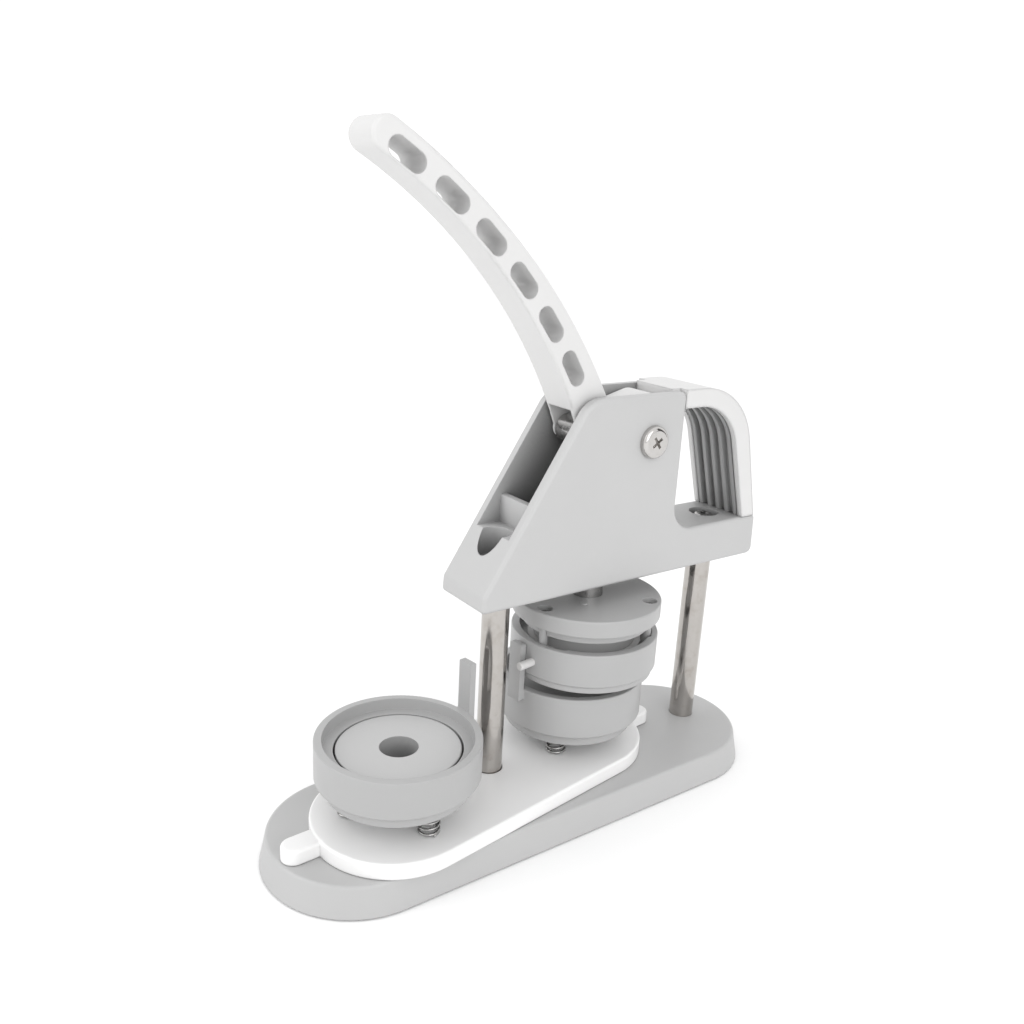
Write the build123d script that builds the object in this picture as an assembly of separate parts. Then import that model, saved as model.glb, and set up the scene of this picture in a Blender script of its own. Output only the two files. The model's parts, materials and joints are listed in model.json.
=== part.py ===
"""Button badge maker: a hand press on two steel pillars.

Origin at the middle of the base's underside, +Z up, -Y towards the user.
All sizes in millimetres.  The turntable rests a few degrees off its stop.
"""

import os
from math import cos, radians, sin

from build123d import *

# ---- base ----
BASE_LENGTH = 284.2
BASE_TOP_HALF = 42.6
BASE_FOOT_HALF = 45.8
BASE_TOP_Z = 15.5
BASE_SKIRT_Z = 0.8
BASE_WALL = 3.0
WEB_REACH = 34.0
WEB_HALF = 1.2
WEB_FOOT_Z = 3.2
COVER_THICK = 2.0
COVER_INSET = 5.0
FOOT_RADIUS = 7.0
FOOT_POINTS = [(-27, -100), (27, -100), (-27, 100), (27, 100)]
COVER_SCREW_POINTS = [(0, -118), (-34, -20), (34, -20), (-34, 60), (34, 60), (0, 132)]

# ---- pillars ----
PILLAR_RADIUS = 6.75
PILLAR_SPACING = 138.0
FRONT_Y = -23.7
REAR_Y = FRONT_Y + PILLAR_SPACING
PILLAR_FOOT_Z = 5.0
PILLAR_TOP_Z = 132.0
SCREW_RADIUS = 3.0
PILLAR_SCREW_HEAD = 5.4
RUN_GAP = 0.05

# ---- turntable ----
REST_TURN = 8.0
DIE_REACH = 57.1
TABLE_REACH = 58.7
TABLE_RADIUS = 39.5
TABLE_FOOT_Z = 15.9
TABLE_TOP_Z = 23.6
TAB_WIDTH = 12.0
TAB_REACH = 113.5
TABLE_BUSH_RADIUS = 9.5
TABLE_BUSH_TOP_Z = 21.8
TAB_TURN = -4.8

# ---- lower dies ----
RING_RADIUS = 38.5
RING_TOP_Z = 62.2
RING_BODY_Z = 42.9
RING_FLOOR_Z = 37.5
RING_SKIRT_RADIUS = 34.0
RIM_BORE = 34.8
LEDGE_Z = 56.6
RING_BORE = 29.8
CORE_RADIUS = 28.9
CORE_HOLE = 9.05
CORE_STEM = 13.0
RING_FLOOR_TOP_Z = 42.3
CORE_DISC_Z = 42.7
REAR_RING_DROP = 3.2
BAR_WIDTH = 8.0
BAR_DEPTH = 4.0
BAR_FOOT_Z = 57.0
BAR_TOP_Z = 87.5
DIE_SPRING_REACH = 23.0
DIE_SPRING_MEAN = 4.6
DIE_SPRING_WIRE = 0.7
DIE_SPRING_TURNS = 4.5
DIE_SPRING_TOP_Z = 39.0

# ---- upper die ----
PRESS_Y = FRONT_Y + DIE_REACH
PLATE_RADIUS = 38.3
PLATE_TOP_Z = 107.4
PLATE_FOOT_Z = 98.7
STEP_RADIUS = 33.0
STEP_FOOT_Z = 93.8
PUNCH_RADIUS = 26.0
PUNCH_FOOT_Z = 72.0
UPPER_RING_RADIUS = 38.0
UPPER_RING_TOP_Z = 89.5
UPPER_RING_BODY_Z = 71.5
UPPER_RING_LIP_Z = 68.6
UPPER_RING_LIP_RADIUS = 36.4
UPPER_RING_RECESS = 33.7
UPPER_RING_FLOOR_Z = 84.0
SLEEVE_OUTER = 28.2
SLEEVE_FLANGE = 0.8
POST_RADIUS = 2.3
POST_REACH = 32.3
POST_ANGLES = [-79, 41, 161]
POST_FOOT_Z = 80.0
POST_HEAD_RADIUS = 2.8
POST_WELL_RADIUS = 3.9
POST_WELL_DEPTH = 3.5
PIP_POINT = (11.1, -11.0)
SWITCH_TURN = 17.6
KIDNEY_SPARE = 4.0
PEG_RADIUS = 2.1
PEG_Z = 79.5
PEG_ANGLE = -81.4
PEG_REACH = 46.9

# ---- press head ----
HOUSE_HALF = 18.0
SLOT_HALF = 13.0
HOUSE_FOOT_Z = 117.3
HOUSE_TOP_Z = 212.0
SHELF_Z = 139.6
LEDGE_FRONT_Z = 149.4
RIB_Y = FRONT_Y + 9.0
RIB_THICK = 3.5
RIB_TOP_Z = 163.0
REAR_WALL_Y = FRONT_Y + 94.0
HOUSE_REAR_Y = FRONT_Y + 97.0
WELL_RADIUS = 8.0
WELL_SHIFT = -2.5
WEB_TOP_Z = 136.0
GUIDE_TOP_Z = 134.0
GUIDE_RADIUS = 13.0
GUIDE_BUSH_RADIUS = 10.0
CAVITY_FLOOR_Z = 122.0

# ---- plunger ----
PLUNGER_RADIUS = 8.0
PLUNGER_HEAD_Z = 172.3
PLUNGER_HEAD_FOOT_Z = 162.3
SPRING_SEAT_RADIUS = 12.5
PAD_HALF = 10.5
PAD_FRONT = -14.5
PAD_REAR = 2.6
RETURN_SPRING_MEAN = 10.6
RETURN_SPRING_WIRE = 0.9
RETURN_SPRING_TURNS = 6.5

# ---- lever ----
PIVOT_Y = FRONT_Y + 76.0
PIVOT_Z = 189.0
PIVOT_RADIUS = 4.0
LEVER_HALF = 10.4
LEVER_BUSH_RADIUS = 6.0
HUB_RADIUS = 17.4
HUB_CROWN_RADIUS = 10.6
HUB_CROWN_SHIFT = 5.5
HUB_CROWN_LIFT = 11.0
LEVER_EDGE = 1.4
ROLLER_Y = FRONT_Y + 40.8
ROLLER_Z = 194.5
ROLLER_RADIUS = 6.9
ROLLER_HALF = 6.4
ROLLER_PIN_RADIUS = 2.5
ROLLER_BOSS = 5.5
FORK_HALF = 8.2
UNDER_ARC = (FRONT_Y - 180.7, 104.9, 234.5)
UPPER_ARC = (FRONT_Y - 205.2, 64.6, 295.6)
SLOT_ARC = (FRONT_Y - 193.0, 84.7, 263.2)
SLOT_FIRST_ANGLE = 59.2
SLOT_PITCH = 5.36
SLOT_COUNT = 6
SLOT_LENGTH = 18.0
SLOT_WIDTH = 8.4
TIP_RADIUS = 6.7
TIP_ANGLE = 63.7
TIP_LEAN = 1.4
TIP_PLAN_RADIUS = 6.0

# ---- rear handle ----
STRAP_HALF = 17.6
STRAP_LINER_HALF = 14.6
STRAP_TOP_Z = 213.0
STRAP_REAR_Y = FRONT_Y + 158.7
STRAP_LEAN = 18.2
TONGUE_FRONT_Y = FRONT_Y + 91.0
TONGUE_FOOT_Z = 207.6
STRAP_BEND = 39.0
STRAP_DEPTH = 9.4
STRAP_SKIN = 4.0
FIN_COUNT = 5
FIN_PITCH = 6.2
FIN_HALF = 1.1


def rod(radius, low, high, x=0.0, y=0.0):
    """An upright round bar from one height to another."""
    return Pos(x, y, (low + high) / 2) * Cylinder(radius, high - low)


def tube(outer, inner, low, high, x=0.0, y=0.0):
    """An upright sleeve."""
    return rod(outer, low, high, x, y) - rod(inner, low - 1, high + 1, x, y)


def cross_rod(radius, low_x, high_x, y, z):
    """A round bar lying along X."""
    middle = Pos((low_x + high_x) / 2, y, z)
    return middle * Rot(0, 90, 0) * Cylinder(radius, high_x - low_x)


def block(low, high):
    """A box between two corners."""
    size = [b - a for a, b in zip(low, high)]
    middle = [(a + b) / 2 for a, b in zip(low, high)]
    return Pos(*middle) * Box(*size)


def side_slab(face, half):
    """A side profile, drawn in Y and Z, made as thick as two halves."""
    return extrude(Plane.YZ * face, half, both=True)


def obround(half_width, reach_front, reach_rear, low, high, y=0.0):
    """An upright plate with round ends, centred between two end points."""
    middle = (reach_rear - reach_front) / 2 + y
    length = reach_front + reach_rear + 2 * half_width
    flat = SlotOverall(length, 2 * half_width, rotation=90)
    return Pos(0, middle, low) * extrude(flat, high - low)


def around(shape, count, first=0.0):
    """Copies of a shape at even angles about the Z axis."""
    return [Rot(0, 0, first + 360 * i / count) * shape for i in range(count)]


def coil(mean, wire, turns, low, high):
    """A compression spring, with its wire inside the two heights."""
    bottom = low + wire
    rise = high - low - 2 * wire
    path = Helix(rise / turns, rise, mean)
    start = path @ 0
    section = Plane(origin=start, z_dir=path % 0) * Circle(wire)
    return Pos(0, 0, bottom) * sweep(section, path=path, is_frenet=True)


def pan_screw(radius, head_radius, head_height, length, drive=2.6):
    """A screw that points down, with the underside of its head at Z = 0."""
    dome = Pos(0, 0, head_height / 2) * Cylinder(head_radius, head_height)
    edge = dome.edges().filter_by(GeomType.CIRCLE).sort_by(Axis.Z)[-1]
    dome = fillet(edge, head_height * 0.6)
    cut = cross_recess(drive, head_height * 0.7)
    head = dome - Pos(0, 0, head_height) * cut
    return head + Pos(0, 0, -length / 2) * Cylinder(radius, length)


def cross_recess(size, depth):
    """The cross that a driver turns, sunk below Z = 0."""
    bar = Box(size * 2, size * 0.45, depth * 2)
    return bar + Rot(0, 0, 90) * bar


def countersunk_screw(radius, head_radius, length):
    """A screw that points down, with the top of its head at Z = 0."""
    depth = head_radius - radius
    head = Pos(0, 0, -depth / 2) * Cone(radius, head_radius, depth)
    shank = Pos(0, 0, -length / 2) * Cylinder(radius, length)
    return head + shank - cross_recess(head_radius * 0.55, depth * 0.8)


# ---- stand ----


def base_blank(low, high, inset=0.0):
    """The tapered base body between two heights, drawn in by an inset."""
    taper = (BASE_FOOT_HALF - BASE_TOP_HALF) / BASE_TOP_Z
    ends = []
    for z in (low, high):
        half = BASE_FOOT_HALF - taper * z - inset
        length = BASE_LENGTH - 2 * (taper * z + inset)
        ends.append(Pos(0, 0, z) * SlotOverall(length, 2 * half, rotation=90))
    return loft(ends)


def make_base_shell():
    shell = base_blank(BASE_SKIRT_Z, BASE_TOP_Z)
    rim = shell.faces().sort_by(Axis.Z)[-1].edges()
    shell = fillet(rim, 1.6)
    shell = shell - base_blank(BASE_SKIRT_Z - 0.1, BASE_TOP_Z - BASE_WALL, BASE_WALL)
    for y in (FRONT_Y, REAR_Y):
        boss = rod(13.0, COVER_THICK + 1.0, BASE_TOP_Z - 1, 0, y)
        web = block((-WEB_REACH, y - WEB_HALF, WEB_FOOT_Z), (WEB_REACH, y + WEB_HALF, BASE_TOP_Z - 1))
        shell = shell + boss + web
        shell = shell - rod(PILLAR_RADIUS, PILLAR_FOOT_Z, BASE_TOP_Z + 1, 0, y)
        shell = shell - rod(SCREW_RADIUS, 0, BASE_TOP_Z, 0, y)
    reach = BASE_LENGTH / 2 - 6
    spine = block((-WEB_HALF, -reach, WEB_FOOT_Z), (WEB_HALF, reach, BASE_TOP_Z - 1))
    for y in (FRONT_Y, REAR_Y):
        spine = spine - rod(PILLAR_RADIUS, 0, BASE_TOP_Z + 1, 0, y)
    shell = shell + spine
    for x, y in COVER_SCREW_POINTS:
        shell = shell + rod(4.0, COVER_THICK + BASE_SKIRT_Z, BASE_TOP_Z - 1, x, y)
        shell = shell - rod(1.5, 0, 11.0, x, y)
    for y in (FRONT_Y, REAR_Y):
        shell = shell - rod(6.2, 0, COVER_THICK + 1.2, 0, y)
    return shell


def make_base_cover():
    low = BASE_SKIRT_Z
    flat = SlotOverall(BASE_LENGTH - 2 * COVER_INSET, 2 * (BASE_FOOT_HALF - COVER_INSET), rotation=90)
    plate = Pos(0, 0, low) * extrude(flat, COVER_THICK)
    for x, y in COVER_SCREW_POINTS:
        plate = plate - rod(1.6, 0, 5, x, y)
        plate = plate - Pos(x, y, low + 0.6) * Cone(3.2, 1.6, 1.6)
    for y in (FRONT_Y, REAR_Y):
        plate = plate - rod(6.2, 0, 5, 0, y)
    for x, y in FOOT_POINTS:
        plate = plate - rod(FOOT_RADIUS, 0, low + 0.8, x, y)
    return plate


def make_rubber_feet():
    feet = []
    for x, y in FOOT_POINTS:
        foot = rod(FOOT_RADIUS, 0, BASE_SKIRT_Z + 0.8, x, y)
        low_edge = foot.edges().filter_by(GeomType.CIRCLE).sort_by(Axis.Z)[0]
        feet.append(fillet(low_edge, 0.5))
    return feet


def make_cover_screws():
    screw = Rot(180, 0, 0) * countersunk_screw(1.5, 3.0, 8.0)
    return [Pos(x, y, BASE_SKIRT_Z) * screw for x, y in COVER_SCREW_POINTS]


def make_pillar(y):
    bar = rod(PILLAR_RADIUS, PILLAR_FOOT_Z, PILLAR_TOP_Z, 0, y)
    bar = chamfer(bar.edges().filter_by(GeomType.CIRCLE), 0.5)
    thread = 14.0
    bar = bar - rod(SCREW_RADIUS, PILLAR_FOOT_Z - 1, PILLAR_FOOT_Z + thread, 0, y)
    return bar - rod(SCREW_RADIUS, PILLAR_TOP_Z - thread, PILLAR_TOP_Z + 1, 0, y)


def make_pillar_foot_screws():
    head_height = 2.0
    screw = Rot(180, 0, 0) * pan_screw(SCREW_RADIUS, PILLAR_SCREW_HEAD, head_height, 14.0)
    return [Pos(0, y, 3.2) * screw for y in (FRONT_Y, REAR_Y)]


def make_pillar_top_screws():
    screw = pan_screw(SCREW_RADIUS, PILLAR_SCREW_HEAD, 3.0, 14.0)
    return [Pos(0, y, WEB_TOP_Z) * screw for y in (FRONT_Y, REAR_Y)]


def make_pivot_washer():
    return tube(11.0, PILLAR_RADIUS + RUN_GAP, BASE_TOP_Z, TABLE_FOOT_Z - 0.02, 0, FRONT_Y)


# ---- press head ----


def house_outline():
    """The side profile of the grey press head, from its nose round to its tail."""
    nose = FRONT_Y - 20.2
    tail = FRONT_Y + 161.0
    corners = [
        (nose, HOUSE_FOOT_Z),
        (nose + 0.6, HOUSE_FOOT_Z + 8.0),
        (FRONT_Y + 36.0, HOUSE_TOP_Z),
        (HOUSE_REAR_Y, HOUSE_TOP_Z),
        (HOUSE_REAR_Y, SHELF_Z),
        (tail - 1.0, SHELF_Z),
        (tail, HOUSE_FOOT_Z),
    ]
    face = make_face(Polyline(*corners, close=True))
    rounds = [2.0, 4.0, 14.0, 3.0, 14.0, 2.0, 4.0]
    for corner, radius in zip(corners, rounds):
        point = face.vertices().sort_by_distance(Vector(*corner))[0]
        face = fillet(point, radius)
    return face


def make_housing():
    body = side_slab(house_outline(), HOUSE_HALF)
    sides = body.faces().filter_by(Axis.X)
    body = fillet(sides.edges(), 2.0)
    far = HOUSE_TOP_Z + 30
    wide = SLOT_HALF
    # open slot for the lever, behind the rib and above the floor
    body = body - block((-wide, RIB_Y + RIB_THICK, CAVITY_FLOOR_Z), (wide, REAR_WALL_Y, far))
    # the rear wall stops short for the handle's tongue
    body = body - block((-wide, REAR_WALL_Y - 1, 206.0), (wide, HOUSE_REAR_Y + 1, far))
    # ledge over the front pillar, open to the slanting face
    body = body - block((-wide, FRONT_Y - 40, LEDGE_FRONT_Z), (wide, RIB_Y, far))
    body = body - block((-wide, RIB_Y - 1, RIB_TOP_Z), (wide, RIB_Y + RIB_THICK + 1, far))
    # guide for the plunger
    body = body + rod(GUIDE_RADIUS, HOUSE_FOOT_Z, GUIDE_TOP_Z, 0, PRESS_Y)
    body = body - rod(GUIDE_BUSH_RADIUS, HOUSE_FOOT_Z - 1, GUIDE_TOP_Z + 1, 0, PRESS_Y)
    # pillar sockets and the screw wells over them
    for y, shift in ((FRONT_Y, WELL_SHIFT), (REAR_Y, 0.0)):
        body = body - rod(PILLAR_RADIUS, HOUSE_FOOT_Z - 1, PILLAR_TOP_Z, 0, y)
        body = body - rod(SCREW_RADIUS, PILLAR_TOP_Z - 1, far, 0, y)
        body = body - rod(WELL_RADIUS, WEB_TOP_Z, far, 0, y + shift)
    # moulding pockets under the tail and behind the front socket
    wall = 3.0
    inner = HOUSE_HALF - wall
    pocket_top = SHELF_Z - wall
    tail_pocket = block((-inner, HOUSE_REAR_Y + 2, HOUSE_FOOT_Z - 1), (inner, FRONT_Y + 154, pocket_top))
    body = body - (tail_pocket - rod(11.0, 100, 150, 0, REAR_Y))
    front_pocket = block((-inner, RIB_Y + 2, HOUSE_FOOT_Z - 1), (inner, PRESS_Y - 16, CAVITY_FLOOR_Z - wall))
    body = body - front_pocket
    # pivot hole
    return body - cross_rod(PIVOT_RADIUS, -HOUSE_HALF - 1, HOUSE_HALF + 1, PIVOT_Y, PIVOT_Z)


def make_guide_bush():
    return tube(GUIDE_BUSH_RADIUS, PLUNGER_RADIUS + RUN_GAP, HOUSE_FOOT_Z, GUIDE_TOP_Z, 0, PRESS_Y)


def make_pivot_bolt():
    head = pan_screw(PIVOT_RADIUS, 8.2, 3.6, 2 * HOUSE_HALF + 6, 3.4)
    return Pos(HOUSE_HALF, PIVOT_Y, PIVOT_Z) * Rot(0, 90, 0) * Rot(0, 0, 35) * head


def make_pivot_nut():
    hexagon = extrude(RegularPolygon(7.0, 6), 6.0)
    nut = hexagon - Cylinder(PIVOT_RADIUS, 40)
    return Pos(-HOUSE_HALF, PIVOT_Y, PIVOT_Z) * Rot(0, -90, 0) * nut


# ---- rear handle ----


def strap_face(inset, depth):
    """The side profile of the rear handle, between two offsets from its back."""
    foot = SHELF_Z

    def line(offset):
        radius = STRAP_BEND - offset
        top = STRAP_TOP_Z - offset
        rear = STRAP_REAR_Y - offset
        corners = [
            (HOUSE_REAR_Y, top),
            (rear - STRAP_LEAN, top),
            (rear, foot),
        ]
        return corners, radius

    outer, outer_radius = line(inset)
    inner, inner_radius = line(inset + depth)
    corners = outer + inner[::-1]
    face = make_face(Polyline(*corners, close=True))
    for corner, radius in ((outer[1], outer_radius), (inner[1], inner_radius)):
        point = face.vertices().sort_by_distance(Vector(*corner))[0]
        face = fillet(point, radius)
    return face


def make_handle_strap():
    strap = side_slab(strap_face(0, STRAP_DEPTH), STRAP_HALF)
    strap = strap - side_slab(strap_face(STRAP_SKIN, STRAP_DEPTH + 4), STRAP_LINER_HALF)
    tongue_half = SLOT_HALF - 0.2
    tongue = block((-tongue_half, TONGUE_FRONT_Y, TONGUE_FOOT_Z), (tongue_half, HOUSE_REAR_Y, STRAP_TOP_Z))
    return strap + tongue


def make_handle_liner():
    liner = side_slab(strap_face(STRAP_SKIN, 2.4), STRAP_LINER_HALF)
    fin = side_slab(strap_face(STRAP_SKIN + 2, STRAP_DEPTH - STRAP_SKIN - 2), FIN_HALF)
    middle = (FIN_COUNT - 1) / 2
    for i in range(FIN_COUNT):
        liner = liner + Pos((i - middle) * FIN_PITCH, 0, 0) * fin
    return liner


# ---- turntable ----


def on_table(shape):
    """Turn a shape from the table's square position to where it rests."""
    return Pos(0, FRONT_Y, 0) * Rot(0, 0, REST_TURN) * shape


def at_die(shape, end):
    """Put a shape drawn about the Z axis on the front or the rear die."""
    reach = Pos(0, -DIE_REACH, 0) * shape
    return on_table(reach if end == "front" else Rot(0, 0, 180) * reach)


def make_turntable():
    plate = obround(TABLE_RADIUS, TABLE_REACH, TABLE_REACH, TABLE_FOOT_Z, TABLE_TOP_Z)
    plate = fillet(plate.edges().group_by(Axis.Z)[-1], 1.2)
    tab_length = 2 * TAB_REACH
    tab = extrude(SlotOverall(tab_length, TAB_WIDTH, rotation=90), TABLE_TOP_Z - TABLE_FOOT_Z - 0.6)
    tab = fillet(tab.edges().group_by(Axis.Z)[-1], 1.6)
    plate = plate + Pos(0, 0, TABLE_FOOT_Z) * Rot(0, 0, TAB_TURN) * tab
    plate = plate - rod(PILLAR_RADIUS + 0.4, 0, 30) - rod(TABLE_BUSH_RADIUS, 0, TABLE_BUSH_TOP_Z)
    for end in (0, 180):
        die = Rot(0, 0, end) * Pos(0, -DIE_REACH, 0)
        plate = plate - die * rod(CORE_STEM, TABLE_TOP_Z - 1.5, 30)
        for leg in around(rod(1.6, 10, 30, 6.0), 3):
            plate = plate - die * leg
        for leg in around(rod(3.2, 10, TABLE_FOOT_Z + 2.4, 6.0), 3):
            plate = plate - die * leg
    return on_table(plate)


def make_turntable_bush():
    sleeve = tube(TABLE_BUSH_RADIUS, PILLAR_RADIUS + RUN_GAP, TABLE_FOOT_Z, TABLE_BUSH_TOP_Z)
    return on_table(sleeve)


def make_core(end):
    core = rod(CORE_RADIUS, CORE_DISC_Z, LEDGE_Z) + rod(CORE_STEM, TABLE_TOP_Z - 1.5, CORE_DISC_Z + 1)
    top = core.edges().filter_by(GeomType.CIRCLE).group_by(Axis.Z)[-1]
    core = fillet(top, 0.5)
    core = core - rod(CORE_HOLE, TABLE_TOP_Z + 6, LEDGE_Z + 1)
    for leg in around(rod(1.5, 10, TABLE_TOP_Z + 5, 6.0), 3):
        core = core - leg
    return at_die(core, end)


def make_core_screws(end):
    screw = Rot(180, 0, 0) * pan_screw(1.5, 2.9, 1.8, 9.0, 1.2)
    seated = Pos(6.0, 0, TABLE_FOOT_Z + 2.4) * screw
    return [at_die(one, end) for one in around(seated, 3)]


def make_die_ring(end):
    drop = REAR_RING_DROP if end == "rear" else 0.0
    body_z = RING_BODY_Z - drop
    floor_z = RING_FLOOR_Z - drop
    ring = rod(RING_RADIUS, body_z, RING_TOP_Z)
    edges = ring.edges().filter_by(GeomType.CIRCLE).sort_by(Axis.Z)
    ring = fillet([edges[-1]], 0.6)
    low = ring.edges().filter_by(GeomType.CIRCLE).sort_by(Axis.Z)[0]
    ring = chamfer(low, 1.6)
    ring = ring + rod(RING_SKIRT_RADIUS, floor_z, body_z + 1)
    bar = block(
        (-BAR_WIDTH / 2, RING_RADIUS - 2.0, BAR_FOOT_Z),
        (BAR_WIDTH / 2, RING_RADIUS + BAR_DEPTH - 0.3, BAR_TOP_Z),
    )
    bar = chamfer(bar.edges().group_by(Axis.Z)[-1], 0.5)
    inside = rod(RING_RADIUS + 0.4, RING_TOP_Z, BAR_TOP_Z + 1)
    ring = ring + (bar - inside)
    ring = ring - rod(RIM_BORE, LEDGE_Z, RING_TOP_Z + 1)
    ring = ring - rod(RING_BORE, RING_FLOOR_TOP_Z, RING_TOP_Z)
    ring = ring - rod(CORE_STEM + 0.6, floor_z - 1, RING_TOP_Z)
    pocket = rod(DIE_SPRING_MEAN + 1.4, floor_z - 1, DIE_SPRING_TOP_Z, DIE_SPRING_REACH)
    for one in around(pocket, 3):
        ring = ring - one
    return at_die(ring, end)


def make_die_springs(end):
    one = coil(DIE_SPRING_MEAN, DIE_SPRING_WIRE, DIE_SPRING_TURNS, TABLE_TOP_Z, DIE_SPRING_TOP_Z)
    placed = Pos(DIE_SPRING_REACH, 0, 0) * one
    return [at_die(spring, end) for spring in around(placed, 3)]


# ---- upper die ----


def at_press(shape):
    """Put a shape drawn about the Z axis on the plunger's axis."""
    return Pos(0, PRESS_Y, 0) * shape


def at_posts(shape):
    """Copies of a shape on the circle of the posts."""
    return [Rot(0, 0, angle) * Pos(POST_REACH, 0, 0) * shape for angle in POST_ANGLES]


def make_top_plate():
    plate = rod(PLATE_RADIUS, PLATE_FOOT_Z, PLATE_TOP_Z)
    plate = fillet(plate.edges().filter_by(GeomType.CIRCLE), 0.8)
    plate = plate - rod(PLUNGER_RADIUS, PLATE_TOP_Z - 4, PLATE_TOP_Z + 1)
    plate = plate - rod(3.0, PLATE_FOOT_Z - 1, PLATE_TOP_Z)
    for hole in at_posts(rod(1.6, PLATE_FOOT_Z - 1, PLATE_TOP_Z + 1)):
        plate = plate - hole
    for well in at_posts(rod(POST_WELL_RADIUS, PLATE_TOP_Z - POST_WELL_DEPTH, PLATE_TOP_Z + 1)):
        plate = plate - well
    pip = rod(1.8, PLATE_TOP_Z - 1, PLATE_TOP_Z + 0.5, *PIP_POINT)
    return at_press(plate + pip)


def make_punch():
    punch = rod(STEP_RADIUS, STEP_FOOT_Z, PLATE_FOOT_Z) + rod(PUNCH_RADIUS, PUNCH_FOOT_Z, STEP_FOOT_Z + 1)
    low = punch.edges().filter_by(GeomType.CIRCLE).sort_by(Axis.Z)[0]
    punch = fillet(low, 1.0)
    punch = punch - rod(3.0, PUNCH_FOOT_Z - 1, PLATE_FOOT_Z + 1)
    punch = punch - rod(6.0, PUNCH_FOOT_Z - 1, PUNCH_FOOT_Z + 12)
    for groove in at_posts(rod(POST_RADIUS + 0.2, STEP_FOOT_Z - 1, PLATE_FOOT_Z + 1)):
        punch = punch - groove
    return at_press(punch)


def make_posts():
    post = rod(POST_RADIUS, POST_FOOT_Z, PLATE_FOOT_Z) - rod(1.5, POST_FOOT_Z - 1, PLATE_FOOT_Z + 1)
    return [at_press(one) for one in at_posts(post)]


def make_post_screws():
    top = pan_screw(1.5, 2.8, 1.8, 9.0, 1.3)
    return [at_press(one) for one in at_posts(Pos(0, 0, PLATE_TOP_Z - POST_WELL_DEPTH) * top)]


def make_post_stop_screws():
    bottom = Rot(180, 0, 0) * pan_screw(1.5, POST_HEAD_RADIUS, 1.6, 8.0, 1.3)
    return [at_press(one) for one in at_posts(Pos(0, 0, POST_FOOT_Z) * bottom)]


def make_plunger_screw():
    screw = Rot(180, 0, 0) * pan_screw(3.0, 5.2, 3.4, 42.0)
    return at_press(Pos(0, 0, PUNCH_FOOT_Z + 12) * screw)


def make_plunger():
    shaft = rod(PLUNGER_RADIUS, PLATE_TOP_Z - 4, PLUNGER_HEAD_FOOT_Z + 1)
    shaft = shaft - rod(3.0, PLATE_TOP_Z - 5, 130)
    seat = rod(SPRING_SEAT_RADIUS, PLUNGER_HEAD_FOOT_Z, PLUNGER_HEAD_FOOT_Z + 3)
    pad = block(
        (-PAD_HALF, PAD_FRONT, PLUNGER_HEAD_FOOT_Z),
        (PAD_HALF, PAD_REAR, PLUNGER_HEAD_Z),
    )
    pad = fillet(pad.edges().filter_by(Axis.Z), 2.0)
    pad = chamfer(pad.edges().group_by(Axis.Z)[-1], 0.8)
    return at_press(shaft + seat + pad)


def make_return_spring():
    mean, wire, turns = RETURN_SPRING_MEAN, RETURN_SPRING_WIRE, RETURN_SPRING_TURNS
    return at_press(coil(mean, wire, turns, GUIDE_TOP_Z, PLUNGER_HEAD_FOOT_Z))


def make_float_sleeve():
    sleeve = tube(SLEEVE_OUTER, PUNCH_RADIUS + RUN_GAP, UPPER_RING_LIP_Z + 1.5, UPPER_RING_FLOOR_Z)
    rim_top = UPPER_RING_FLOOR_Z + SLEEVE_FLANGE
    flange = tube(SLEEVE_OUTER + 1.2, PUNCH_RADIUS + RUN_GAP, UPPER_RING_FLOOR_Z, rim_top)
    return at_press(sleeve + flange)


def kidney(low, high, radius):
    """A curved slot about each post, long enough for the ring's turn."""
    width = tube(POST_REACH + radius, POST_REACH - radius, low, high)
    reach = 80.0
    first = radians(-KIDNEY_SPARE)
    last = radians(SWITCH_TURN + KIDNEY_SPARE)
    rays = [(0, 0)]
    rays.append((reach * cos(first), reach * sin(first)))
    rays.append((reach, reach * sin((first + last) / 2)))
    rays.append((reach * cos(last), reach * sin(last)))
    wedge = extrude(make_face(Polyline(*rays, close=True)), high - low)
    ends = []
    for angle in (first, last):
        ends.append(rod(radius, low, high, POST_REACH * cos(angle), POST_REACH * sin(angle)))
    return (width & (Pos(0, 0, low) * wedge)) + ends[0] + ends[1]


def make_upper_ring():
    ring = rod(UPPER_RING_RADIUS, UPPER_RING_BODY_Z, UPPER_RING_TOP_Z)
    edges = ring.edges().filter_by(GeomType.CIRCLE).sort_by(Axis.Z)
    ring = fillet([edges[-1]], 0.6)
    low = ring.edges().filter_by(GeomType.CIRCLE).sort_by(Axis.Z)[0]
    ring = chamfer(low, 1.2)
    ring = ring + rod(UPPER_RING_LIP_RADIUS, UPPER_RING_LIP_Z, UPPER_RING_BODY_Z + 1)
    ring = ring - rod(UPPER_RING_RECESS, UPPER_RING_FLOOR_Z, UPPER_RING_TOP_Z + 1)
    ring = ring - rod(SLEEVE_OUTER + RUN_GAP, UPPER_RING_LIP_Z - 1, UPPER_RING_TOP_Z)
    for angle in POST_ANGLES:
        turned = Rot(0, 0, angle)
        ring = ring - turned * kidney(UPPER_RING_LIP_Z - 1, UPPER_RING_TOP_Z, POST_RADIUS + 0.4)
        ring = ring - turned * kidney(UPPER_RING_LIP_Z - 1, POST_FOOT_Z + 0.02, POST_HEAD_RADIUS + 0.3)
    peg_hole = Rot(0, 0, PEG_ANGLE) * peg_bar(UPPER_RING_RADIUS - 2.4, PEG_REACH)
    return at_press(ring - peg_hole)


def peg_bar(start, end):
    """A round bar that stands out of the ring, along X before it is turned."""
    return Pos((start + end) / 2, 0, PEG_Z) * Rot(0, 90, 0) * Cylinder(PEG_RADIUS, end - start)


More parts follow.
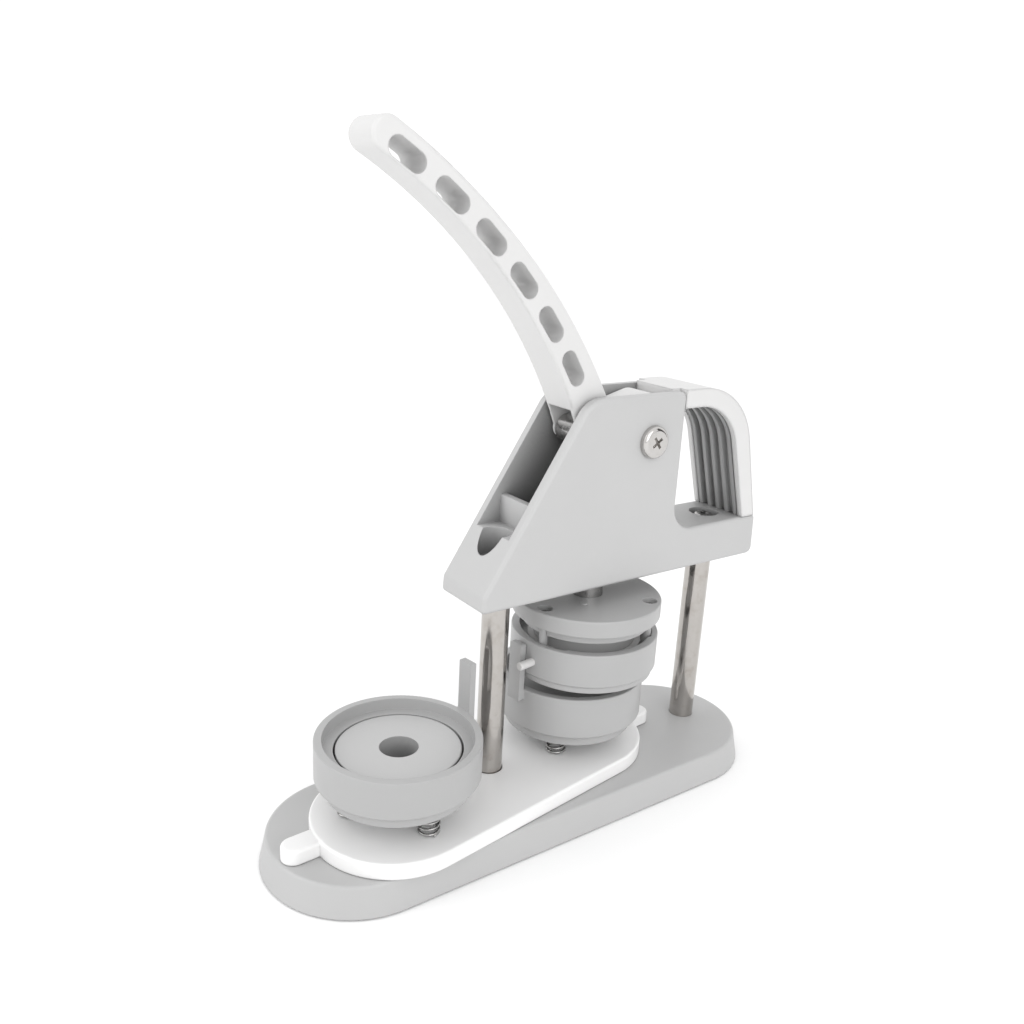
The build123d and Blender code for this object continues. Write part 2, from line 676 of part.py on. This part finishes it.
def make_switch_peg():
    bar = peg_bar(UPPER_RING_RADIUS - 2.4, PEG_REACH)
    tip = bar.edges().filter_by(GeomType.CIRCLE).sort_by(Axis.X)[-1]
    bar = fillet(tip, 0.6)
    return at_press(Rot(0, 0, PEG_ANGLE) * bar)


# ---- lever ----


def arc_point(arc, angle):
    """A point on a lever arc, given as centre Y, centre Z and radius."""
    turn = radians(angle)
    return (arc[0] + arc[2] * cos(turn), arc[1] + arc[2] * sin(turn))


def arc_at_height(arc, z):
    """The point of a lever arc at a height, on its rear side."""
    return (arc[0] + (arc[2] ** 2 - (z - arc[1]) ** 2) ** 0.5, z)


def arm_outline():
    """The arm between its two arcs, with its round tip."""
    under_tip = arc_point(UNDER_ARC, TIP_ANGLE)
    upper_tip = arc_point(UPPER_ARC, TIP_ANGLE - TIP_LEAN)
    under_foot = arc_at_height(UNDER_ARC, ROLLER_Z)
    upper_foot = arc_at_height(UPPER_ARC, PIVOT_Z + HUB_RADIUS)
    edge = [
        ThreePointArc(under_foot, arc_point(UNDER_ARC, 43.0), under_tip),
        Line(under_tip, upper_tip),
        ThreePointArc(upper_tip, arc_point(UPPER_ARC, 46.0), upper_foot),
        Line(upper_foot, (PIVOT_Y, PIVOT_Z)),
        Line((PIVOT_Y, PIVOT_Z), under_foot),
    ]
    face = make_face(edge)
    for corner in (under_tip, upper_tip):
        point = face.vertices().sort_by_distance(Vector(*corner))[0]
        face = fillet(point, TIP_RADIUS)
    return face


def cheek_outline():
    """The hub with its level crown, and the roller's boss."""
    hub = Pos(PIVOT_Y, PIVOT_Z) * Circle(HUB_RADIUS)
    crown = Pos(PIVOT_Y + HUB_CROWN_SHIFT, PIVOT_Z + HUB_CROWN_LIFT) * Circle(HUB_CROWN_RADIUS)
    boss = Pos(ROLLER_Y, ROLLER_Z) * Circle(ROLLER_BOSS)
    return make_hull((boss + hub + crown).edges())


def tip_corners():
    """What is taken off the arm's end to make it round in plan."""
    end = arc_point(SLOT_ARC, TIP_ANGLE - TIP_LEAN / 2)
    lean = radians(TIP_ANGLE)
    out = Vector(0, cos(lean), sin(lean))
    deck = Plane(origin=(0, end[0], end[1]), x_dir=(1, 0, 0), z_dir=out)
    reach = TIP_PLAN_RADIUS
    side = 1 if (deck * Pos(0, 1, 0)).position.Y < end[0] else -1
    beyond = Pos(0, side * reach) * Rectangle(4 * LEVER_HALF, 2 * reach)
    round_end = Rectangle(2 * LEVER_HALF, 2 * reach)
    round_end = fillet(round_end.vertices(), reach)
    return deck * extrude(beyond - round_end, 20, both=True)


def soft_slab(face, half, radius):
    """A side profile made thick, with its curved edges rounded over."""
    slab = side_slab(face, half)
    edges = slab.faces().filter_by(Axis.X).edges().filter_by(GeomType.CIRCLE)
    return fillet(edges, radius)


def lever_slot(angle):
    """One of the long holes through the arm."""
    y, z = arc_point(SLOT_ARC, angle)
    hole = SlotOverall(SLOT_LENGTH, SLOT_WIDTH, rotation=angle + 90)
    return side_slab(Pos(y, z) * hole, LEVER_HALF + 2)


def make_lever():
    body = soft_slab(arm_outline() + cheek_outline(), LEVER_HALF, LEVER_EDGE)
    body = body - tip_corners()
    for i in range(SLOT_COUNT):
        body = body - lever_slot(SLOT_FIRST_ANGLE - SLOT_PITCH * i)
    fork = cross_rod(ROLLER_RADIUS + 1.2, -FORK_HALF, FORK_HALF, ROLLER_Y, ROLLER_Z)
    over = Pos(ROLLER_Y - 5.0, ROLLER_Z + 9.0) * Circle(4.0)
    front = Pos(ROLLER_Y - 17.0, ROLLER_Z + 5.0) * Circle(4.0)
    room = Pos(ROLLER_Y, ROLLER_Z) * Circle(ROLLER_RADIUS + 1.2)
    relief = make_hull((room + over + front).edges())
    body = body - fork - side_slab(relief, FORK_HALF)
    body = body - cross_rod(ROLLER_PIN_RADIUS, -LEVER_HALF - 1, LEVER_HALF + 1, ROLLER_Y, ROLLER_Z)
    return body - cross_rod(LEVER_BUSH_RADIUS, -LEVER_HALF - 1, LEVER_HALF + 1, PIVOT_Y, PIVOT_Z)


def make_lever_bush():
    sleeve = cross_rod(LEVER_BUSH_RADIUS, -LEVER_HALF, LEVER_HALF, PIVOT_Y, PIVOT_Z)
    return sleeve - cross_rod(PIVOT_RADIUS + RUN_GAP, -20, 20, PIVOT_Y, PIVOT_Z)


def make_lever_washers():
    washers = []
    for side in (-1, 1):
        low, high = sorted((side * LEVER_HALF, side * (SLOT_HALF - 0.3)))
        disc = cross_rod(9.0, low, high, PIVOT_Y, PIVOT_Z)
        washers.append(disc - cross_rod(PIVOT_RADIUS + RUN_GAP, -20, 20, PIVOT_Y, PIVOT_Z))
    return washers


def make_roller():
    wheel = cross_rod(ROLLER_RADIUS, -ROLLER_HALF, ROLLER_HALF, ROLLER_Y, ROLLER_Z)
    wheel = chamfer(wheel.edges().filter_by(GeomType.CIRCLE), 0.6)
    return wheel - cross_rod(ROLLER_PIN_RADIUS + RUN_GAP, -20, 20, ROLLER_Y, ROLLER_Z)


def make_roller_pin():
    return cross_rod(ROLLER_PIN_RADIUS, -LEVER_HALF + 0.3, LEVER_HALF - 0.3, ROLLER_Y, ROLLER_Z)


def make_roller_spacers():
    spacers = []
    for low, high in ((-FORK_HALF, -ROLLER_HALF - 0.3), (ROLLER_HALF + 0.3, FORK_HALF)):
        collar = cross_rod(4.0, low, high, ROLLER_Y, ROLLER_Z)
        spacers.append(collar - cross_rod(ROLLER_PIN_RADIUS, -20, 20, ROLLER_Y, ROLLER_Z))
    return spacers


NODES = {
    "base_shell": make_base_shell,
    "base_cover": make_base_cover,
    "rubber_feet": make_rubber_feet,
    "cover_screws": make_cover_screws,
    "front_pillar": lambda: make_pillar(FRONT_Y),
    "rear_pillar": lambda: make_pillar(REAR_Y),
    "pillar_foot_screws": make_pillar_foot_screws,
    "pillar_top_screws": make_pillar_top_screws,
    "pivot_washer": make_pivot_washer,
    "housing": make_housing,
    "guide_bush": make_guide_bush,
    "pivot_bolt": make_pivot_bolt,
    "pivot_nut": make_pivot_nut,
    "handle_strap": make_handle_strap,
    "handle_liner": make_handle_liner,
    "turntable": make_turntable,
    "turntable_bush": make_turntable_bush,
    "front_core": lambda: make_core("front"),
    "rear_core": lambda: make_core("rear"),
    "front_core_screws": lambda: make_core_screws("front"),
    "rear_core_screws": lambda: make_core_screws("rear"),
    "front_die_ring": lambda: make_die_ring("front"),
    "rear_die_ring": lambda: make_die_ring("rear"),
    "front_die_springs": lambda: make_die_springs("front"),
    "rear_die_springs": lambda: make_die_springs("rear"),
    "plunger": make_plunger,
    "plunger_screw": make_plunger_screw,
    "return_spring": make_return_spring,
    "top_plate": make_top_plate,
    "punch": make_punch,
    "posts": make_posts,
    "post_screws": make_post_screws,
    "post_stop_screws": make_post_stop_screws,
    "float_sleeve": make_float_sleeve,
    "upper_ring": make_upper_ring,
    "switch_peg": make_switch_peg,
    "lever": make_lever,
    "lever_bush": make_lever_bush,
    "lever_washers": make_lever_washers,
    "press_roller": make_roller,
    "roller_pin": make_roller_pin,
    "roller_spacers": make_roller_spacers,
}


def main():
    os.makedirs("parts", exist_ok=True)
    for name, make in NODES.items():
        shape = make()
        if isinstance(shape, list):
            shape = Compound(children=shape)
        export_step(shape, os.path.join("parts", name + ".step"))


main()
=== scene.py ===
"""Looks of a button badge maker: a hand press with two lower dies on a turntable.

Metres, in the press's own frame: +Z up, -Y towards the user, origin under the middle of the base.
"""

import json
from math import cos, pi, radians, sin

import bmesh
import bpy
from mathutils import Matrix, Vector


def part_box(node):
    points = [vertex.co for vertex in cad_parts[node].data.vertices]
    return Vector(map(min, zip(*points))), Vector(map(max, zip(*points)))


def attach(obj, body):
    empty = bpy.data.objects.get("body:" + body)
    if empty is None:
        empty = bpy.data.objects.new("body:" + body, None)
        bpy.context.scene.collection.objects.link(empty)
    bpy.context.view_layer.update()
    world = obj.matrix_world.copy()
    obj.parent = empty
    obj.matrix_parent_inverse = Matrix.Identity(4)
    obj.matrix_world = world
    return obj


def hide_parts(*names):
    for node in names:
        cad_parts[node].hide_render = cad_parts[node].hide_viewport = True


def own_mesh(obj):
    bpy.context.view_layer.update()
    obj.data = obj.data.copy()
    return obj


MM = 0.001

# The lower dies' centres from the turntable's axis, and their springs from those centres.
DIE_REACH = 57.1 * MM
DIE_SPRING_REACH = 23.0 * MM
DIE_SPRING_MEAN = 4.6 * MM
DIE_SPRING_WIRE = 0.62 * MM
DIE_SPRING_TURNS = 6.0
RETURN_SPRING_MEAN = 10.6 * MM
RETURN_SPRING_WIRE = 0.85 * MM
RETURN_SPRING_TURNS = 8.0
CLOSED_TURNS = 1.0
STEPS_PER_TURN = 28
WIRE_SIDES = 10
SMOOTH_ANGLE = 40.0

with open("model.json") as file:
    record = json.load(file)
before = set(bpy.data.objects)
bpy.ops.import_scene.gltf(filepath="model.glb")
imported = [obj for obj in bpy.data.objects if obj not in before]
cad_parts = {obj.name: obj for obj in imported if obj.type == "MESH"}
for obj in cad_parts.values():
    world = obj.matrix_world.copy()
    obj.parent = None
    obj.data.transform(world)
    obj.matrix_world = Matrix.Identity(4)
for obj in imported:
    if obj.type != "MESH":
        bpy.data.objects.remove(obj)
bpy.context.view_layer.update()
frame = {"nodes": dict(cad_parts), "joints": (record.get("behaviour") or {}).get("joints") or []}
nodes = frame["nodes"]
joints = {joint["name"]: joint for joint in frame["joints"]}


def middle(node):
    """The centre of a CAD node's box."""
    low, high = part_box(node)
    return (low + high) / 2


FRONT_Y = middle("front_pillar").y
PRESS = middle("plunger_screw")
REST_TURN = -radians(joints["turntable_swing"]["range_deg"][0])


# ---- shader bench ----


class Wire:
    """One value in a finish's node tree. Sums on it add Math nodes."""

    def __init__(self, finish, socket):
        self.finish = finish
        self.socket = socket

    def __add__(self, other):
        return self.finish.math("ADD", self, other)

    def __sub__(self, other):
        return self.finish.math("SUBTRACT", self, other)

    def __rsub__(self, other):
        return self.finish.math("SUBTRACT", other, self)

    def __mul__(self, other):
        return self.finish.math("MULTIPLY", self, other)

    __radd__ = __add__
    __rmul__ = __mul__


class Finish:
    """A material built from nodes."""

    def __init__(self, name):
        self.material = bpy.data.materials.new(name)
        self.material.use_nodes = True
        self.tree = self.material.node_tree
        self.tree.nodes.clear()

    def add(self, kind, settings=None, sockets=None, out=0):
        """A node of a kind: its settings first, then what its sockets hold or what feeds them."""
        node = self.tree.nodes.new("ShaderNode" + kind)
        for key, value in (settings or {}).items():
            if key == "stops":
                self.set_stops(node.color_ramp, value)
            else:
                setattr(node, key, value)
        for key, value in (sockets or {}).items():
            if isinstance(value, Wire):
                self.tree.links.new(value.socket, node.inputs[key])
            else:
                node.inputs[key].default_value = value
        return Wire(self, node.outputs[out])

    def set_stops(self, ramp, stops):
        """Grey levels at places along a colour ramp."""
        while len(ramp.elements) < len(stops):
            ramp.elements.new(1.0)
        for element, (place, level) in zip(ramp.elements, stops):
            element.position = place
            element.color = (level, level, level, 1.0)

    def math(self, operation, first, second):
        return self.add("Math", {"operation": operation}, {0: first, 1: second})

    def mix(self, low, high, share):
        """A colour between two, by a share from 0 to 1."""
        settings = {"data_type": "RGBA", "clamp_factor": True}
        return self.add("Mix", settings, {0: share, 6: low, 7: high}, out=2)

    def place(self):
        """Where a point is on its piece at rest, in metres."""
        return self.add("TexCoord", out="Object")

    def stretch(self, vector, scale):
        """A vector with each of its parts scaled."""
        return self.add("VectorMath", {"operation": "MULTIPLY"}, {0: vector, 1: scale})

    def noise(self, vector, scale, detail=2.0, roughness=0.5):
        sockets = {"Vector": vector, "Scale": scale, "Detail": detail, "Roughness": roughness}
        return self.add("TexNoise", {}, sockets)

    def ramp(self, value, *stops):
        return self.add("ValToRGB", {"stops": stops}, {0: value})

    def worn_and_lit_edge(self, radius):
        """1 on sharp edges within a radius, 0 on flat faces."""
        soft = self.add("Bevel", {"samples": 4}, {"Radius": radius})
        flat = self.add("NewGeometry", out="Normal")
        facing = self.add("VectorMath", {"operation": "DOT_PRODUCT"}, {0: soft, 1: flat}, out="Value")
        return self.ramp(1.0 - facing, (0.02, 0.0), (0.25, 1.0))

    def bump(self, height, strength, distance, normal=None):
        sockets = {"Height": height, "Strength": strength, "Distance": distance}
        if normal is not None:
            sockets["Normal"] = normal
        return self.add("Bump", {}, sockets)

    def close(self, kind, sockets):
        """Ends the tree in one shader and gives back the material."""
        shader = self.add(kind, {}, sockets)
        end = self.tree.nodes.new("ShaderNodeOutputMaterial")
        self.tree.links.new(shader.socket, end.inputs["Surface"])
        return self.material


def grey(level, warm=0.0):
    """A near-neutral colour."""
    return (level * (1 + warm), level, level * (1 - warm), 1.0)


def moulded(name, level, warm=0.0, gloss=0.42, edge=0.45, painted_hollow_shade=0.0):
    """Satin injection-moulded plastic: fine spark texture, faint flow marks, and edges painted
    lighter, part rubbed wear and part painted highlight.

    The edge is how soft corners look, in millimetres; the last argument paints shade into hollows, a
    painted shade where little open air reaches.
    """
    finish = Finish(name)
    place = finish.place()
    grain = finish.noise(place, 2600.0, 3.0, 0.6)
    cloud = finish.noise(place, 28.0, 3.0, 0.55)
    flow = finish.noise(finish.stretch(place, (1.0, 0.35, 1.0)), 90.0, 4.0, 0.6)
    specks = finish.ramp(finish.noise(place, 900.0, 1.0), (0.70, 0.0), (0.78, 1.0))
    # Mask of sharp edges, painted lighter below: part rubbed wear, part painted edge highlight.
    worn_and_lit_edge = finish.worn_and_lit_edge(0.7 * MM)
    body = finish.mix(grey(level * 0.965, warm), grey(level * 1.03, warm), cloud)
    body = finish.mix(body, grey(level * 0.93, warm * 1.5), specks * 0.25)
    body = finish.mix(body, grey(min(level * 1.10, 0.95), warm * 0.5), worn_and_lit_edge * 0.55)
    if painted_hollow_shade:
        # Painted shade: hollows and recesses are darkened by how little open air reaches them.
        open_air = finish.add("AmbientOcclusion", {"samples": 6}, {"Distance": 60 * MM}, out="AO")
        shade = finish.ramp(open_air, (0.10, 1.0), (0.62, 0.0))
        body = finish.mix(body, grey(level * 0.25), shade * painted_hollow_shade)
    rough = gloss + (flow - 0.5) * 0.16 + (cloud - 0.5) * 0.08 - worn_and_lit_edge * 0.08
    soft = finish.add("Bevel", {"samples": 6}, {"Radius": edge * MM})
    wave = finish.bump(flow, 0.05, 0.3 * MM, soft)
    normal = finish.bump(grain, 0.16, 0.03 * MM, wave)
    sockets = {"Base Color": body, "Roughness": rough, "Normal": normal, "IOR": 1.5}
    return finish.close("BsdfPrincipled", sockets)


def turned_steel(name, level, warm, gloss, along=(1.0, 1.0, 40.0), marks=0.35):
    """Bright steel with fine tool lines across an axis, faint stains, handling marks, and edges
    painted brighter, part wear and part painted highlight.
    """
    finish = Finish(name)
    place = finish.place()
    lines = finish.noise(finish.stretch(place, along), 420.0, 3.0, 0.7)
    cloud = finish.noise(place, 60.0, 4.0, 0.6)
    stain = finish.ramp(finish.noise(place, 140.0, 5.0, 0.65), (0.50, 0.0), (0.74, 1.0))
    brushed = finish.noise(finish.stretch(place, (1.0, 1.0, 0.18)), 1300.0, 1.0)
    scuff = finish.ramp(brushed, (0.66, 0.0), (0.72, 1.0))
    # Mask of sharp edges, painted brighter below: part handling wear, part painted edge highlight.
    worn_and_lit_edge = finish.worn_and_lit_edge(0.4 * MM)
    body = finish.mix(grey(level * 0.90, warm * 1.4), grey(level * 1.05, warm), cloud)
    body = finish.mix(body, grey(level * 0.66, warm * 3.0), stain * marks)
    body = finish.mix(body, grey(min(level * 1.2, 0.95), warm), worn_and_lit_edge * 0.5)
    rough = gloss + (lines - 0.5) * 0.10 + stain * 0.10 + scuff * 0.10
    soft = finish.add("Bevel", {"samples": 4}, {"Radius": 0.3 * MM})
    normal = finish.bump(lines, 0.10, 0.02 * MM, soft)
    sockets = {"Base Color": body, "Roughness": rough, "Metallic": 1.0, "Normal": normal}
    return finish.close("BsdfPrincipled", sockets)


def foot_rubber():
    """Dull black rubber with moulding bloom."""
    finish = Finish("foot_rubber")
    place = finish.place()
    grain = finish.noise(place, 1500.0, 4.0, 0.7)
    bloom = finish.noise(place, 120.0, 3.0)
    body = finish.mix(grey(0.022), grey(0.045), bloom)
    normal = finish.bump(grain, 0.35, 0.08 * MM)
    sockets = {"Base Color": body, "Roughness": 0.72 + bloom * 0.15, "Normal": normal}
    return finish.close("BsdfPrincipled", sockets)


def floor_paint():
    """A pale matt studio floor with a faint mottle."""
    finish = Finish("floor_paint")
    mottle = finish.noise(finish.place(), 6.0, 4.0)
    body = finish.mix(grey(0.90), grey(0.94), mottle)
    sockets = {"Base Color": body, "Roughness": 0.9, "Specular IOR Level": 0.1}
    return finish.close("BsdfPrincipled", sockets)


GREY = moulded("satin_grey_plastic", 0.43, 0.0, 0.44, 0.7)
# The housing and the cores get painted shade in their hollows from the last argument.
HOUSE_GREY = moulded("housing_grey_plastic", 0.45, 0.0, 0.42, 0.8, 0.9)
DIE_GREY = moulded("die_grey_plastic", 0.37, 0.0, 0.38, 0.5)
CORE_GREY = moulded("core_grey_plastic", 0.44, 0.0, 0.36, 0.4, 0.6)
# The liner's dark grey is partly its own plastic and partly painted shade for the inside of the
# handle.
LINER_GREY_AND_SHADE = moulded("liner_grey_and_painted_shade", 0.29, 0.0, 0.48, 0.8)
WHITE = moulded("satin_white_plastic", 0.60, 0.004, 0.36, 1.0)
STRAP_WHITE = moulded("handle_white_plastic", 0.60, 0.004, 0.36, 2.6)
TABLE_WHITE = moulded("turntable_white_plastic", 0.78, 0.002, 0.34, 0.9)
SLIDE = moulded("slide_plastic", 0.58, 0.01, 0.30)
PILLAR_STEEL = turned_steel("ground_pillar_steel", 0.46, 0.04, 0.11, (1.0, 1.0, 40.0), 0.6)
PLATED = turned_steel("plated_steel", 0.46, 0.01, 0.20, (12.0, 12.0, 12.0))
BRIGHT = turned_steel("bright_screw_steel", 0.56, 0.02, 0.08, (8.0, 8.0, 8.0), 0.3)
SPRING_STEEL = turned_steel("drawn_spring_wire", 0.40, 0.01, 0.18, (6.0, 6.0, 6.0), 0.3)
BRASS = turned_steel("turned_brass", 0.52, 0.28, 0.22, (30.0, 1.0, 1.0), 0.3)
RUBBER = foot_rubber()

NODE_FINISH = {
    "base_shell": GREY,
    "base_cover": GREY,
    "rubber_feet": RUBBER,
    "cover_screws": PLATED,
    "front_pillar": PILLAR_STEEL,
    "rear_pillar": PILLAR_STEEL,
    "pillar_foot_screws": PLATED,
    "pillar_top_screws": PLATED,
    "pivot_washer": PLATED,
    "housing": HOUSE_GREY,
    "guide_bush": SLIDE,
    "pivot_bolt": BRIGHT,
    "pivot_nut": PLATED,
    "handle_strap": STRAP_WHITE,
    "handle_liner": LINER_GREY_AND_SHADE,
    "turntable": TABLE_WHITE,
    "turntable_bush": SLIDE,
    "front_core": CORE_GREY,
    "rear_core": CORE_GREY,
    "front_core_screws": PLATED,
    "rear_core_screws": PLATED,
    "front_die_ring": DIE_GREY,
    "rear_die_ring": DIE_GREY,
    "front_die_springs": SPRING_STEEL,
    "rear_die_springs": SPRING_STEEL,
    "plunger": PLATED,
    "plunger_screw": PLATED,
    "return_spring": SPRING_STEEL,
    "top_plate": DIE_GREY,
    "punch": DIE_GREY,
    "posts": DIE_GREY,
    "post_screws": PLATED,
    "post_stop_screws": PLATED,
    "float_sleeve": SLIDE,
    "upper_ring": DIE_GREY,
    "switch_peg": SLIDE,
    "lever": WHITE,
    "lever_bush": BRASS,
    "lever_washers": SLIDE,
    "press_roller": PLATED,
    "roller_pin": PLATED,
    "roller_spacers": SLIDE,
}

for name, part in nodes.items():
    part.data.materials.clear()
    part.data.materials.append(NODE_FINISH[name])


# ---- pieces drawn finer than the CAD ----


def as_piece(name, form, finish):
    """An object made from a bmesh, shaded smooth except across sharp edges."""
    bmesh.ops.recalc_face_normals(form, faces=form.faces)
    mesh = bpy.data.meshes.new(name)
    form.to_mesh(mesh)
    form.free()
    mesh.shade_smooth()
    mesh.set_sharp_from_angle(angle=radians(SMOOTH_ANGLE))
    mesh.materials.append(finish)
    piece = bpy.data.objects.new(name, mesh)
    bpy.context.scene.collection.objects.link(piece)
    return piece


def wind_spring(form, foot, height, mean, wire, turns, phase):
    """Adds a coil spring with closed, ground ends, standing on a point."""
    rings = []
    steps = int(turns * STEPS_PER_TURN)
    open_turns = turns - 2 * CLOSED_TURNS
    for i in range(steps + 1):
        turn = turns * i / steps
        inner = min(max(turn - CLOSED_TURNS, 0.0), open_turns) / open_turns
        start = min(turn / CLOSED_TURNS, 1.0)
        end = min(max(turn - turns + CLOSED_TURNS, 0.0) / CLOSED_TURNS, 1.0)
        lift = wire + start * wire + inner * (height - 6 * wire) + end * wire + wire * (start > 0)
        lift = min(lift, height - wire)
        angle = phase + 2 * pi * turn
        out = Vector((cos(angle), sin(angle), 0.0))
        centre = Vector(foot) + out * mean + Vector((0, 0, lift))
        ring = []
        for side in range(WIRE_SIDES):
            bearing = 2 * pi * side / WIRE_SIDES
            point = centre + (out * cos(bearing) + Vector((0, 0, 1)) * sin(bearing)) * wire
            point.z = min(max(point.z, foot[2]), foot[2] + height)
            ring.append(form.verts.new(point))
        rings.append(ring)
    for low, high in zip(rings, rings[1:]):
        for k in range(WIRE_SIDES):
            form.faces.new((low[k], low[k - 1], high[k - 1], high[k]))
    form.faces.new(rings[0])
    form.faces.new(reversed(rings[-1]))


def fit_spring(spring, node, body):
    """Puts a spring in its CAD node's place: hides the CAD node and hangs the spring on its body."""
    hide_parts(node)
    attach(spring, body)
    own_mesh(spring)


def make_die_springs(end, side):
    """Three springs between the turntable and one lower die ring."""
    node = end + "_die_springs"
    low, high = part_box(node)
    reach = DIE_REACH * side
    centre = Vector((reach * sin(REST_TURN), FRONT_Y - reach * cos(REST_TURN), low.z))
    first = REST_TURN if side > 0 else REST_TURN + pi
    form = bmesh.new()
    for third in range(3):
        angle = first + third * 2 * pi / 3
        foot = centre + Vector((cos(angle), sin(angle), 0)) * DIE_SPRING_REACH
        sizes = (high.z - low.z, DIE_SPRING_MEAN, DIE_SPRING_WIRE, DIE_SPRING_TURNS)
        wind_spring(form, foot, *sizes, 0.9 * third)
    springs = as_piece(node + "_fine", form, SPRING_STEEL)
    fit_spring(springs, node, "turntable")


def make_return_spring():
    """The spring that lifts the plunger, round its shaft."""
    low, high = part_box("return_spring")
    form = bmesh.new()
    sizes = (high.z - low.z, RETURN_SPRING_MEAN, RETURN_SPRING_WIRE, RETURN_SPRING_TURNS)
    wind_spring(form, (PRESS.x, PRESS.y, low.z), *sizes, 0.4)
    spring = as_piece("return_spring_fine", form, SPRING_STEEL)
    fit_spring(spring, "return_spring", "stand")


make_die_springs("front", 1)
make_die_springs("rear", -1)
make_return_spring()


# ---- studio ----


def make_floor():
    """A wide pale disc just under the feet."""
    form = bmesh.new()
    bmesh.ops.create_circle(form, cap_ends=True, segments=96, radius=6.0)
    mesh = bpy.data.meshes.new("studio_floor")
    form.to_mesh(mesh)
    form.free()
    mesh.materials.append(floor_paint())
    floor = bpy.data.objects.new("studio_floor", mesh)
    bpy.context.scene.collection.objects.link(floor)


def make_flag(name, centre, width, height, level):
    """A tall dark panel that only bright metal sees."""
    form = bmesh.new()
    bmesh.ops.create_grid(form, x_segments=1, y_segments=1, size=0.5)
    mesh = bpy.data.meshes.new(name)
    form.to_mesh(mesh)
    form.free()
    finish = Finish(name)
    mesh.materials.append(finish.close("Emission", {"Color": grey(level, 0.03), "Strength": 1.0}))
    flag = bpy.data.objects.new(name, mesh)
    aim = (Vector((0, 0, centre[2])) - Vector(centre)).to_track_quat("Z", "Y")
    flag.matrix_world = Matrix.LocRotScale(Vector(centre), aim, Vector((width, height, 1)))
    bpy.context.scene.collection.objects.link(flag)
    flag.visible_camera = False
    flag.visible_diffuse = False
    flag.visible_shadow = False


def make_softbox(name, place, aim, size, power):
    light = bpy.data.lights.new(name, "AREA")
    light.shape = "RECTANGLE"
    light.size, light.size_y = size
    light.energy = power
    lamp = bpy.data.objects.new(name, light)
    lamp.location = place
    lamp.rotation_mode = "QUATERNION"
    lamp.rotation_quaternion = (Vector(aim) - Vector(place)).to_track_quat("-Z", "Y")
    bpy.context.scene.collection.objects.link(lamp)


def make_sky():
    """An even white tent."""
    world = bpy.data.worlds.new("white_tent")
    world.use_nodes = True
    inputs = world.node_tree.nodes["Background"].inputs
    inputs["Color"].default_value = (1, 1, 1, 1)
    inputs["Strength"].default_value = 1.1
    bpy.context.scene.world = world


def make_camera():
    """Looks down from the front right, a little rolled."""
    azimuth, elevation, roll = radians(53.54), radians(17.47), radians(3.02)
    target = Vector((0, FRONT_Y + 6.55 * MM, 157.91 * MM))
    distance = 448.86 * MM
    back = Vector((sin(azimuth) * cos(elevation), -cos(azimuth) * cos(elevation), sin(elevation)))
    right = (-back).cross(Vector((0, 0, 1))).normalized()
    up = right.cross(-back).normalized()
    rolled_right = right * cos(roll) + up * sin(roll)
    rolled_up = up * cos(roll) - right * sin(roll)
    turn = Matrix((rolled_right, rolled_up, back)).transposed()
    data = bpy.data.cameras.new("camera")
    data.sensor_width = 36.0
    data.lens = 33.63
    data.clip_start, data.clip_end = 0.01, 50.0
    camera = bpy.data.objects.new("camera", data)
    camera.matrix_world = Matrix.Translation(target + back * distance) @ turn.to_4x4()
    bpy.context.scene.collection.objects.link(camera)
    bpy.context.scene.camera = camera


make_floor()
make_sky()
make_camera()
make_softbox("side_softbox", (1.3, -0.25, 0.75), (0, 0, 0.12), (1.2, 1.2), 7.0)
make_softbox("front_softbox", (-0.5, -1.4, 0.9), (0, 0, 0.12), (1.2, 1.2), 7.0)
make_flag("left_flag", (-0.9, -0.9, 0.3), 0.35, 1.6, 0.05)
make_flag("right_flag", (0.75, 0.9, 0.3), 0.30, 1.6, 0.08)
bpy.context.scene.view_settings.view_transform = "Standard"
